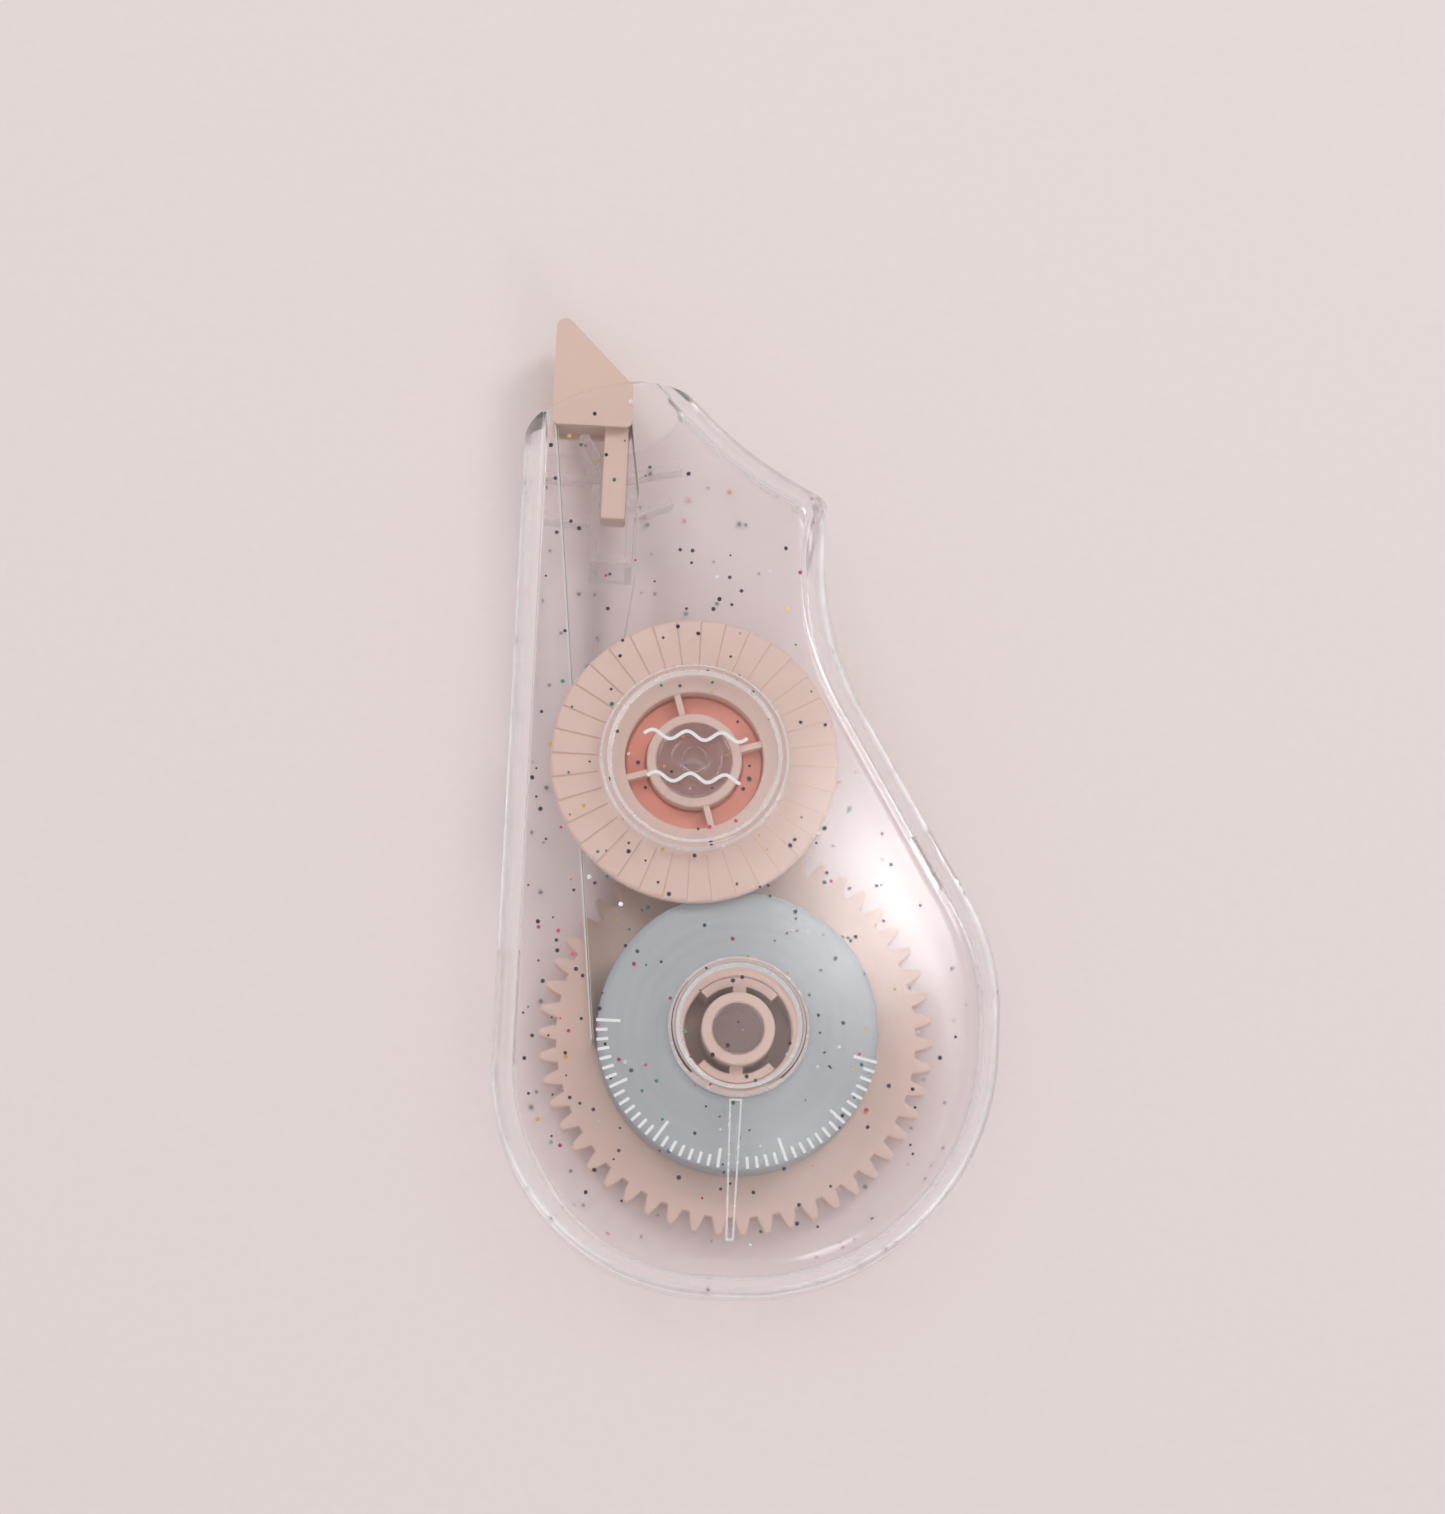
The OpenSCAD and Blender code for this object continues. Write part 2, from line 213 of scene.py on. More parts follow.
def mouldedLook(name, colour, darker, roughness=0.38):
    look = Look(name, {"Specular IOR Level": 0.45})
    flow = look.noise(90, 3)
    speckle = look.noise(2600, 3, 0.6)
    look.set("Base Color", look.mix(flow, darker, colour))
    look.set("Roughness", roughness - 0.06 + 0.08 * flow + 0.05 * speckle)
    look.bump(0.6 * speckle + 0.4 * look.noise(700, 2), 0.35, 0.00002)
    return look.material


def tapeRollLook(centre, inner, outer):
    # fine rings on the roll's sides, from the edges of its turns
    look = Look("tapeTurns", {"Specular IOR Level": 0.3})
    axle = look.node("VectorMath", {"operation": "SUBTRACT"},
                     {0: look.place, 1: (centre.x * mm, centre.y * mm, 0)})
    flat = look.node("VectorMath", {"operation": "MULTIPLY"}, {0: axle, 1: (1, 1, 0)})
    radius = look.node("VectorMath", {"operation": "LENGTH"}, {0: flat}, "Value")
    across = (radius / mm - inner) / (outer - inner)
    turns = look.node("TexNoise", {"noise_dimensions": "1D"},
                      {"W": radius * 9000, "Scale": 1.0, "Detail": 3.0, "Roughness": 0.6})
    bands = look.node("TexNoise", {"noise_dimensions": "1D"},
                      {"W": radius * 1400, "Scale": 1.0, "Detail": 2.0})
    rim = look.node("Math", {"operation": "SMOOTH_MIN", "use_clamp": True},
                    {0: across * 9, 1: (1 - across) * 9, 2: 0.3})
    body = look.mix(0.65 * turns + 0.35 * bands, shade(166, 173, 177), shade(188, 194, 198))
    look.set("Base Color", look.mix(rim, shade(157, 163, 168), body))
    look.set("Roughness", 0.46 + 0.16 * turns)
    look.bump(turns, 0.5, 0.00004)
    return look.material


def filmLook(name, colour, darker, fixed):
    look = Look(name, {"Specular IOR Level": 0.4, **fixed})
    flow = look.noise(260, 4)
    look.set("Base Color", look.mix(flow, darker, colour))
    look.set("Roughness", 0.35 + 0.2 * flow)
    look.bump(look.noise(1500, 2), 0.3, 0.00002)
    return look.material


def clearLook():
    # shadow and diffuse rays pass straight through, so what is inside stays lit
    look = Look("clearPlastic", {"Transmission Weight": 1.0, "IOR": 1.46,
                                 "Base Color": (0.978, 0.964, 0.970)})
    waves = look.noise(70, 2)
    look.set("Roughness", 0.085 + 0.05 * look.noise(420, 3))
    look.bump(waves, 0.25, 0.00012)
    shadow = look.node("LightPath", {}, {}, "Is Shadow Ray")
    diffuse = look.node("LightPath", {}, {}, "Is Diffuse Ray")
    through = look.node("BsdfTransparent", {}, {"Color": (0.985, 0.974, 0.978)})
    light = look.node("Math", {"operation": "MAXIMUM"}, {0: shadow, 1: diffuse})
    output = look.tree.nodes["Material Output"]
    plastic = Wire(look, look.shader.outputs[0])
    both = look.node("MixShader", {}, {0: light, 1: plastic, 2: through})
    look.plug(output.inputs["Surface"], both)
    return look.material


def paintedHighlightLook():
    # painted highlight: the steps of the clear shell, where light gathers, get a near-white, partly
    # diffuse colour that stands in for that light
    look = Look("paintedHighlightEdge", {"Transmission Weight": 0.3, "IOR": 1.46})
    highlightStreak = look.noise(900, 2)
    # painted highlight, a little brighter in fine streaks
    look.set("Base Color", look.mix(highlightStreak, shade(240, 237, 240), shade(253, 252, 253)))
    look.set("Roughness", 0.16 + 0.2 * highlightStreak)
    return look.material


def flakeLook(name, colour, metallic):
    look = Look(name, {"Metallic": metallic})
    sparkle = look.noise(5200, 1)
    look.set("Base Color", look.mix(sparkle, tuple(0.6 * c for c in colour), colour))
    look.set("Roughness", 0.22 + 0.2 * sparkle)
    return look.material


def printLook():
    look = Look("whitePrint", {"Specular IOR Level": 0.3})
    wear = look.noise(1800, 3)
    look.set("Base Color", look.mix(wear, shade(226, 226, 228), shade(248, 248, 249)))
    look.set("Roughness", 0.42 + 0.12 * wear)
    return look.material


def floorLook():
    look = Look("paleFloor", {"Specular IOR Level": 0.2})
    grain = look.noise(900, 4, 0.6)
    look.set("Base Color", look.mix(grain, shade(238, 226, 224), shade(243, 232, 230)))
    look.set("Roughness", 0.62 + 0.1 * grain)
    look.bump(grain, 0.15, 0.00003)
    return look.material


# ---- making meshes

def closeLoop(bm, verts):  # the edges that join a ring of vertices
    return [bm.edges.new((verts[k - 1], verts[k])) for k in range(len(verts))]


def addLoop(bm, points, z):  # a closed line of edges at one height
    return closeLoop(bm, [bm.verts.new((x, y, z)) for x, y in points])


def circle(radius, steps, at=(0, 0)):
    return [(at[0] + radius * math.cos(2 * math.pi * k / steps),
             at[1] + radius * math.sin(2 * math.pi * k / steps)) for k in range(steps)]


def skin(bm, rings):  # joins each ring of vertices to the next
    for near, far in zip(rings, rings[1:]):
        for k in range(len(near)):
            bm.faces.new((near[k - 1], near[k], far[k], far[k - 1]))


def faceOut(bm):  # turns every face outwards
    bmesh.ops.recalc_face_normals(bm, faces=bm.faces)
    if bm.calc_volume(signed=True) < 0:
        bmesh.ops.reverse_faces(bm, faces=bm.faces)


def ringEdges(bm, ring):
    return [bm.edges.get((ring[k - 1], ring[k])) for k in range(len(ring))]


def cap(bm, edges):  # fills a flat outline, leaving its inner loops open
    bmesh.ops.triangle_fill(bm, use_beauty=True, edges=edges)


def growWall(bm, edges, height, scale=1.0, about=(0, 0)):  # a wall that grows from a loop
    grown = bmesh.ops.extrude_edge_only(bm, edges=edges)["geom"]
    verts = [g for g in grown if isinstance(g, bmesh.types.BMVert)]
    middle = Matrix.Translation((-about[0], -about[1], 0))
    bmesh.ops.scale(bm, verts=verts, vec=(scale, scale, 1), space=middle)
    bmesh.ops.translate(bm, verts=verts, vec=(0, 0, height))
    return [g for g in grown if isinstance(g, bmesh.types.BMEdge)]


def soften(bm, edges, width, segments=2):
    bmesh.ops.bevel(bm, geom=edges, offset=width, affect="EDGES", segments=segments,
                    profile=0.5, material=-1, clamp_overlap=True)


def sharpEdges(bm, angle=50):
    return [e for e in bm.edges if e.calc_face_angle(0) > math.radians(angle)]


def plate(outlines, low, top, edge=0.0, segments=2):  # a flat shape with holes, made thick
    bm = bmesh.new()
    cap(bm, [e for points in outlines for e in addLoop(bm, points, low)])
    flat = bm.faces[:]
    grown = bmesh.ops.extrude_face_region(bm, geom=flat)["geom"]
    verts = [g for g in grown if isinstance(g, bmesh.types.BMVert)]
    bmesh.ops.translate(bm, verts=verts, vec=(0, 0, top - low))
    faceOut(bm)
    if edge:
        rims = [e for e in sharpEdges(bm) if abs(e.verts[0].co.z - e.verts[1].co.z) < 1e-6]
        soften(bm, rims, edge, segments)
    return bm


def lathe(profile, steps=96):  # a closed profile of radius and height, spun about the axle
    bm = bmesh.new()
    verts = [bm.verts.new((r, 0, z)) for r, z in profile]
    edges = closeLoop(bm, verts)
    bmesh.ops.spin(bm, geom=verts + edges, cent=(0, 0, 0), axis=(0, 0, 1), dvec=(0, 0, 0),
                   angle=2 * math.pi, steps=steps, use_merge=True)
    bmesh.ops.remove_doubles(bm, verts=bm.verts, dist=1e-4)
    faceOut(bm)
    return bm


def tubeProfile(inner, outer, low, top, edge):  # a tube's wall with its four edges eased
    return [(inner + edge, low), (outer - edge, low), (outer, low + edge), (outer, top - edge),
            (outer - edge, top), (inner + edge, top), (inner, top - edge), (inner, low + edge)]


def bar(start, end, width, low, top, edge=0.12):  # a straight bar between two points
    start, end = Vector(start), Vector(end)
    along = end - start
    bm = bmesh.new()
    bmesh.ops.create_cube(bm, size=1)
    bmesh.ops.scale(bm, verts=bm.verts, vec=(along.length, width, top - low))
    soften(bm, bm.edges[:], edge, 2)
    turned = Matrix.Rotation(math.atan2(along.y, along.x), 4, "Z")
    middle = (start + end) / 2
    bmesh.ops.transform(bm, verts=bm.verts,
                        matrix=Matrix.Translation((middle.x, middle.y, (low + top) / 2)) @ turned)
    return bm


def combine(bm, tool, operation):  # joins a second closed shape to the first, or cuts with it
    shapes = []
    for part in (bm, tool):
        mesh = bpy.data.meshes.new("work")
        part.to_mesh(mesh)
        part.free()
        shapes.append(bpy.data.objects.new("work", mesh))
        scene.collection.objects.link(shapes[-1])
    change = shapes[0].modifiers.new("change", "BOOLEAN")
    change.operation = operation
    change.object = shapes[1]
    change.solver = "EXACT"
    ready = shapes[0].evaluated_get(bpy.context.evaluated_depsgraph_get())
    result = bmesh.new()
    result.from_mesh(bpy.data.meshes.new_from_object(ready))
    for shape in shapes:
        bpy.data.objects.remove(shape)
    return result


def gather(parts):  # several closed shapes in one mesh
    bm = bmesh.new()
    for part in parts:
        mesh = bpy.data.meshes.new("work")
        part.to_mesh(mesh)
        part.free()
        bm.from_mesh(mesh)
    return bm


def finishPiece(bm, name, body, looks, nodes=(), at=(0, 0), turned=0, sharp=32):
    bmesh.ops.rotate(bm, verts=bm.verts, cent=(0, 0, 0), matrix=Matrix.Rotation(turned, 3, "Z"))
    bmesh.ops.translate(bm, verts=bm.verts, vec=(at[0], at[1], 0))
    bmesh.ops.remove_doubles(bm, verts=bm.verts, dist=0.002)
    bmesh.ops.dissolve_degenerate(bm, edges=bm.edges, dist=0.002)
    bmesh.ops.scale(bm, verts=bm.verts, vec=(mm, mm, mm))
    bm.normal_update()
    for face in bm.faces:
        face.smooth = True
    for edge in bm.edges:
        edge.smooth = edge.calc_face_angle(math.pi) < math.radians(sharp)
    mesh = bpy.data.meshes.new(name)
    bm.to_mesh(mesh)
    bm.free()
    for look in looks:
        mesh.materials.append(look)
    piece = bpy.data.objects.new(name, mesh)
    even = piece.modifiers.new("even", "WEIGHTED_NORMAL")
    even.keep_sharp = True
    scene.collection.objects.link(piece)
    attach(piece, body)
    if nodes:
        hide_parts(*nodes)
    print("made", name, len(mesh.polygons), "faces")
    return piece


# ---- the clear case

caseShape = {
    # corner x, y, fillet radius, its change per mm of inset, share of the rounding, steps
    "corners": [
        (-24, -25.8, 22, -1, 1, 26),
        (25.8, -25.8, 25, -1, 1, 30),
        (25.8, 8.8, 22, -1, 0.9, 18),
        (6.2, 41.1, 35, -2, 0.4, 16),
        (6.7, 54.2, 1.3, 0.3, 1.4, 8),
        (-1.6, 58.6, 44, -7, 1.05, 14),
        (-14, 70.5, 0.5, 0, 0, 1),
        (-24, 70.5, 0.5, 0, 0.5, 1),
    ],
    "wall": 1.3,
    "jointGap": 0.04,
    "jointEdge": 0.1,
    "tongue": 1.5,
    "mouthCentre": (-11.4, 46.3),
    "mouthRadius": 18.1,
    "mouthFrom": -27,
    "mouthTo": -6,
    "farEnd": 82,
    "cutterLow": -2,
    "cutterTop": 16,
    "windowRise": 0.8,
}
joint = extent("front_shell")["low"] + caseShape["tongue"]


def unitNormal(along):
    return Vector((-along.y, along.x))


def meet(first, second):  # where two lines, each a point and a direction, cross
    away = second[0] - first[0]
    return first[0] + first[1] * (away.cross(second[1]) / first[1].cross(second[1]))


def roundCorner(before, corner, after, radius, steps):
    d0 = (corner - before).normalized()
    d1 = (after - corner).normalized()
    bend = math.atan2(d0.cross(d1), d0.dot(d1))
    start = corner - d0 * radius * math.tan(abs(bend) / 2)
    centre = start + unitNormal(d0) * math.copysign(radius, bend)
    return [centre + Matrix.Rotation(bend * k / steps, 2) @ (start - centre)
            for k in range(steps + 1)]


def insetLoop(corners, shifts, radii, steps):  # sides moved in, then corners rounded
    count = len(corners)
    sides = []
    for k in range(count):
        start = Vector(corners[k][:2])
        along = (Vector(corners[(k + 1) % count][:2]) - start).normalized()
        sides.append((start + unitNormal(along) * shifts[k], along))
    points = [meet(sides[k - 1], sides[k]) for k in range(count)]
    loop = []
    for k in range(count):
        loop += roundCorner(points[k - 1], points[k], points[(k + 1) % count],
                            max(0.2, radii[k]), steps[k])
    return loop


def outline(inset, rounding=0):  # the case's outline after its sides move in
    corners = caseShape["corners"]
    shifts = [inset + rounding * corner[4] for corner in corners]
    radii = [corner[2] + corner[3] * (inset + rounding) for corner in corners]
    return insetLoop(corners, shifts, radii, [corner[5] for corner in corners])


def roundedRings(inset, rounding, low, top, steps):  # rings up a quarter of an ellipse
    rings = []
    for k in range(1, steps + 1):
        angle = math.pi / 2 * k / steps
        rings.append((low + (top - low) * math.sin(angle), inset,
                      rounding * (1 - math.cos(angle))))
    return rings


def wallRings(bm, rings):
    made = []
    for z, inset, rounding in rings:
        made.append([bm.verts.new((p.x, p.y, z)) for p in outline(inset, rounding)])
    skin(bm, made)
    return made


def mouthCutter():
    centre, radius = Vector(caseShape["mouthCentre"]), caseShape["mouthRadius"]
    first, last = caseShape["mouthFrom"], caseShape["mouthTo"]
    steps = 48
    edge = []
    for k in range(steps + 1):
        x = first + (last - first) * k / steps
        edge.append((x, centre.y + math.sqrt(radius ** 2 - (x - centre.x) ** 2)))
    far = caseShape["farEnd"]
    return plate([edge + [(last, far), (first, far)]], caseShape["cutterLow"],
                 caseShape["cutterTop"])


caseFront = {
    "sideTop": 7.5,
    "rounding": 4.0,
    "innerRounding": 2.4,
    "roundSteps": 12,
    "supportRing": 0.4,
    "windows": (6.9, 9.35),
    "windowLip": [  # inwards from the foot and up from the face, as shares of the rise
        (0.15, 0.45), (0.30, 0.75), (0.44, 0.93), (0.6, 1.0), (0.74, 0.94), (0.87, 0.78),
        (1.0, 0.56), (1.12, 0.45), (1.5, 0.42)],
    "lineEdge": 0.2,
    "lineTop": -7.05,
    "lineEnd": -21.0,
    "lineWidths": (1.3, 0.85),
    "lineHeight": 0.42,
    "pinRadius": 1.2,
    "pinLength": 3.0,
    "catches": [((-22.7, 7), (-22.7, -4)), ((17.1, 20.6), (20.1, 15.65))],
    "catchWidth": 1.6,
    "catchHeight": 2.5,
    "hookWidth": 0.7,
    "hookShift": 0.5,
}


def markSteps(bm, face):
    # the sloping sides of both windows and of the line take the second material, the painted
    # highlight
    shape = caseFront
    turning = [inwards for inwards, share in shape["windowLip"]]
    walls = [(-0.02, turning[1] + 0.05), (turning[4] + 0.05, turning[7] + 0.02)]
    for part in bm.faces:
        middle = part.calc_center_median()
        if middle.z < face + 0.004:
            continue
        if any(low < foot - (middle.xy - Vector(at)).length < high
               for at, foot in zip(((0, 0), takeupFromSupply), shape["windows"])
               for low, high in walls):
            part.material_index = 1
        if middle.y < shape["lineTop"] + 0.3 and middle.z < face + shape["lineHeight"] - 0.004:
            part.material_index = 1


def buildCaseFront(looks):
    shape = caseFront
    wall, gap, edge = caseShape["wall"], caseShape["jointGap"] / 2, caseShape["jointEdge"]
    top = extent("front_shell")["top"]
    rise = caseShape["windowRise"]
    face, roof, low = top - rise, top - rise - wall, joint + gap
    bm = bmesh.new()
    outer = wallRings(bm, [(low, edge, 0), (low + edge, 0, 0), (shape["sideTop"], 0, 0)]
                      + roundedRings(0, shape["rounding"], shape["sideTop"], face,
                                     shape["roundSteps"])
                      + [(face, shape["supportRing"], shape["rounding"])])
    inner = wallRings(bm, [(low, wall, 0), (shape["sideTop"], wall, 0)]
                      + roundedRings(wall, shape["innerRounding"], shape["sideTop"], roof,
                                     shape["roundSteps"])
                      + [(roof, wall + shape["supportRing"], shape["innerRounding"])])
    skin(bm, [outer[0], inner[0]])
    windows = []
    for at, foot in zip(((0, 0), takeupFromSupply), shape["windows"]):
        windows.append((addLoop(bm, circle(foot, 96, at), face), foot, at))
    wide, narrow = (w / 2 for w in shape["lineWidths"])
    line = addLoop(bm, [(-wide, shape["lineTop"]), (-narrow, shape["lineEnd"]),
                        (narrow, shape["lineEnd"]), (wide, shape["lineTop"])], face)
    cap(bm, ringEdges(bm, outer[-1]) + line + [e for loop, foot, at in windows for e in loop])
    for loop, foot, at in windows:
        radius, height = foot, 0
        for inwards, share in shape["windowLip"]:
            loop = growWall(bm, loop, rise * (share - height), (foot - inwards) / radius, at)
            radius, height = foot - inwards, share
        bmesh.ops.edgenet_fill(bm, edges=loop)
    crest = growWall(bm, line, shape["lineHeight"], 0.985, (0, shape["lineTop"] / 2 - 7))
    bmesh.ops.edgenet_fill(bm, edges=crest)
    pin = addLoop(bm, circle(shape["pinRadius"], 32, takeupFromSupply), roof)
    cap(bm, ringEdges(bm, inner[-1]) + pin)
    bmesh.ops.edgenet_fill(bm, edges=growWall(bm, pin, -shape["pinLength"]))
    faceOut(bm)
    soften(bm, crest, shape["lineEdge"], 3)
    for start, end in shape["catches"]:
        away = (Vector(end) - Vector(start)).normalized()
        side = -unitNormal(away) if start[0] > 0 else unitNormal(away)
        shift = side * shape["hookShift"]
        bm = combine(bm, bar(start, end, shape["catchWidth"], joint + 0.03,
                             joint + shape["catchHeight"]), "UNION")
        bm = combine(bm, bar(Vector(start) + shift, Vector(end) + shift, shape["hookWidth"],
                             joint - caseShape["tongue"], joint + 1), "UNION")
    bm = combine(bm, mouthCutter(), "DIFFERENCE")
    markSteps(bm, face)
    return finishPiece(bm, "caseFront", "case", looks, ["front_shell"], supplyAxle)


caseBack = {
    "sideLow": 2.0,
    "rounding": 1.6,
    "innerRounding": 0.5,
    "roundSteps": 7,
    "supportRing": 0.4,
    "scoopCentre": (-16, 68.4),
    "scoopRadius": 9,
    "supplyPost": 2.5,
    "takeupPost": 3.7,
    "takeupBore": 1.3,
    "postTop": 11.1,
    "postEdge": 0.25,
    "socketLow": (-16.9, 46),
    "socketHigh": (-12.6, 54),
    "socketWall": 0.7,
    "socketTop": 10.4,
    "tab": ((-18.1, 59.4), (-16.6, 56.8), 1.0),
    "ribs": [((-23.2, 52.3), (-16.6, 51.7)), ((-13, 52.6), (-8.8, 54.4)),
             ((-23.2, 56.6), (-16, 56.1)), ((-16.2, 56.1), (-8, 58))],
    "ribWidth": 0.8,
    "ribTop": 3.7,
}


def scoopCutter():
    centre, radius = caseBack["scoopCentre"], caseBack["scoopRadius"]
    left, far = caseShape["mouthFrom"], caseShape["farEnd"]
    edge = [(left, centre[1] - radius)]
    for k in range(33):
        angle = math.pi / 2 * (k / 32 - 1)
        edge.append((centre[0] + radius * math.cos(angle), centre[1] + radius * math.sin(angle)))
    return plate([edge + [(centre[0] + radius, far), (left, far)]], -2, 12)


def buildCaseBack(clear):
    shape = caseBack
    wall, gap, edge = caseShape["wall"], caseShape["jointGap"] / 2, caseShape["jointEdge"]
    top = joint - gap
    side = shape["sideLow"]
    bm = bmesh.new()
    outer = wallRings(bm, [(top, edge, 0), (top - edge, 0, 0), (side, 0, 0)]
                      + roundedRings(0, shape["rounding"], side, 0, shape["roundSteps"])
                      + [(0, shape["supportRing"], shape["rounding"])])
    inner = wallRings(bm, [(top, wall, 0), (side, wall, 0)]
                      + roundedRings(wall, shape["innerRounding"], side, wall, 5)
                      + [(wall, wall + shape["supportRing"], shape["innerRounding"])])
    skin(bm, [outer[0], inner[0]])
    cap(bm, ringEdges(bm, outer[-1]))
    supply = addLoop(bm, circle(shape["supplyPost"], 64), wall)
    takeup = addLoop(bm, circle(shape["takeupPost"], 72, takeupFromSupply), wall)
    cap(bm, ringEdges(bm, inner[-1]) + supply + takeup)
    height = shape["postTop"] - wall
    supply = growWall(bm, supply, height)
    takeup = growWall(bm, takeup, height)
    bore = addLoop(bm, circle(shape["takeupBore"], 72, takeupFromSupply), shape["postTop"])
    cap(bm, takeup + bore)
    bottom = growWall(bm, bore, -height)
    bmesh.ops.edgenet_fill(bm, edges=supply)
    bmesh.ops.edgenet_fill(bm, edges=bottom)
    faceOut(bm)
    soften(bm, supply + takeup + bore, shape["postEdge"], 2)
    low, high, thin = Vector(shape["socketLow"]), Vector(shape["socketHigh"]), shape["socketWall"]
    walls = [(low.x, low.y), (high.x, low.y), (high.x, high.y), (high.x - thin, high.y),
             (high.x - thin, low.y + thin), (low.x + thin, low.y + thin),
             (low.x + thin, high.y), (low.x, high.y)]
    bm = combine(bm, plate([walls], wall - 0.1, shape["socketTop"], 0.1), "UNION")
    bm = combine(bm, bar(((low.x + high.x) / 2, low.y + 0.1), ((low.x + high.x) / 2, high.y - 0.1),
                         high.x - low.x - 0.2, wall - 0.2, wall + 1, 0.05), "UNION")
    start, end, width = shape["tab"]
    bm = combine(bm, bar(start, end, width, wall - 0.2, extent("tape_roll")["top"]), "UNION")
    bm = combine(bm, mouthCutter(), "DIFFERENCE")
    bm = combine(bm, scoopCutter(), "DIFFERENCE")
    for start, end in shape["ribs"]:
        bm = combine(bm, bar(start, end, shape["ribWidth"], wall - 0.2, shape["ribTop"]), "UNION")
    return finishPiece(bm, "caseBack", "case", [clear], ["back_shell"], supplyAxle)


# ---- gears and reels

gearShape = {"module": 0.75, "pressureAngle": 20, "play": 0.1, "thick": 2.0, "edge": 0.1}


def gearOutline(teeth):
    module, play = gearShape["module"], gearShape["play"]
    pressure = math.radians(gearShape["pressureAngle"])
    pitch = module * teeth / 2
    radii = [pitch + module * k for k in (-1.25, -0.75, -0.35, 0, 0.35, 0.7, 1)]
    wide = math.pi * module / 4 - play / 2

    def halfAngle(r):
        at = math.acos(min(1, pitch * math.cos(pressure) / r))
        return wide / pitch + math.tan(pressure) - pressure - math.tan(at) + at

    points = []
    for k in range(teeth):
        middle = 2 * math.pi * k / teeth
        for side, order in ((-1, radii), (1, radii[::-1])):
            for r in order:
                angle = middle + side * halfAngle(r)
                points.append((r * math.cos(angle), r * math.sin(angle)))
    return points


def gearParts(shape, low, top):  # the toothed disc and the boss that it turns on
    middle = (shape["bore"] + shape["boss"]) / 2
    disc = plate([gearOutline(shape["teeth"]), circle(middle, 64)], top - gearShape["thick"], top,
                 gearShape["edge"])
    return disc, lathe(tubeProfile(shape["bore"], shape["boss"], low, top - 0.06, 0.1))


supplyGear = {"teeth": 50, "bore": 2.55, "boss": 5.0}


def buildSupplyGear(look):
    size = extent("supply_gear")
    disc, boss = gearParts(supplyGear, size["low"], size["top"])
    meshed = math.atan2(takeupFromSupply.y, takeupFromSupply.x)
    return finishPiece(combine(disc, boss, "UNION"), "supplyGear", "supply_drive",
                       [look], ["supply_gear"], supplyAxle, meshed)


takeupGear = {"teeth": 22, "bore": 3.75, "boss": 5.2, "collarIn": 4.75, "collarOut": 6.8}


def buildTakeupGear(look):
    shape, size = takeupGear, extent("takeup_gear")
    top = extent("supply_gear")["top"]
    disc, boss = gearParts(shape, size["low"], top)
    collar = lathe(tubeProfile(shape["collarIn"], shape["collarOut"], top - 0.3, size["top"], 0.2))
    disc = combine(disc, collar, "UNION")
    meshed = math.atan2(takeupFromSupply.y, takeupFromSupply.x) + math.pi * (1 + 1 / shape["teeth"])
    return finishPiece(combine(disc, boss, "UNION"), "takeupGear", "takeup_reel",
                       [look], ["takeup_gear"], takeupAxle, meshed)


clutchHub = {
    "bore": 2.55,
    "ring": 3.6,
    "armIn": 4.35,
    "armOut": 5.25,
    "spread": 46,
    "web": 1.3,
    "edge": 0.12,
}


def buildClutchHub(look):
    shape, size = clutchHub, extent("clutch_hub")
    armTop = extent("supply_core")["top"]
    bm = lathe(tubeProfile(shape["bore"], shape["ring"], size["low"], size["top"], shape["edge"]))
    spread = math.radians(shape["spread"])
    steps = 24
    for facing in (math.pi / 2, -math.pi / 2):
        arm = []
        for radius, order in ((shape["armIn"], range(steps, -1, -1)),
                              (shape["armOut"], range(steps + 1))):
            for k in order:
                angle = facing - spread + 2 * spread * k / steps
                arm.append((radius * math.cos(angle), radius * math.sin(angle)))
        bm = combine(bm, plate([arm], size["low"], armTop, shape["edge"]), "UNION")
        out = Vector((0, math.copysign(1, facing)))
        web = bar(out * (shape["ring"] - 0.3), out * (shape["armIn"] + 0.3), shape["web"],
                  size["low"], armTop - 0.02, 0.08)
        bm = combine(bm, web, "UNION")
    return finishPiece(bm, "clutchHub", "supply_drive", [look],
                       ["clutch_hub"], supplyAxle)


supplyCore = {"bore": 5.3, "edge": 0.15}


def buildSupplyCore(look):
    shape, size = supplyCore, extent("supply_core")
    bm = lathe(tubeProfile(shape["bore"], size["radius"] - 0.02, size["low"], size["top"],
                           shape["edge"]), 128)
    return finishPiece(bm, "supplyCore", "tape_reel", [look],
                       ["supply_core"], supplyAxle)


def buildTapeRoll():
    size, core = extent("tape_roll"), extent("supply_core")["radius"]
    low, top, outer = size["low"], size["top"], size["radius"]
    profile = [(core, low), (outer - 0.1, low), (outer, low + 0.1), (outer, top - 0.1),
               (outer - 0.1, top)]
    rings = 9  # the turns settle into slight steps
    for k in range(1, rings):
        radius = outer - (outer - core) * k / rings
        profile += [(radius + 0.05, top - 0.02 * (k % 2)), (radius - 0.05, top - 0.02 * (1 - k % 2))]
    profile.append((core, top))
    return finishPiece(lathe(profile, 160), "tapeRoll", "tape_reel",
                       [tapeRollLook(supplyAxle, core, outer)], ["tape_roll"], supplyAxle)


takeupSpool = {
    "hubIn": 3.75,
    "hubOut": 4.7,
    "window": 6.85,
    "drum": 8.0,
    "flangeLow": 9.5,
    "flangeTop": 10.5,
    "pleats": 36,
    "pleatFrom": 9.5,
    "pleatRise": 0.24,
    "edge": 0.12,
    "spokes": 4,
    "spokeTurn": 17,
    "spokeWidth": 0.65,
}


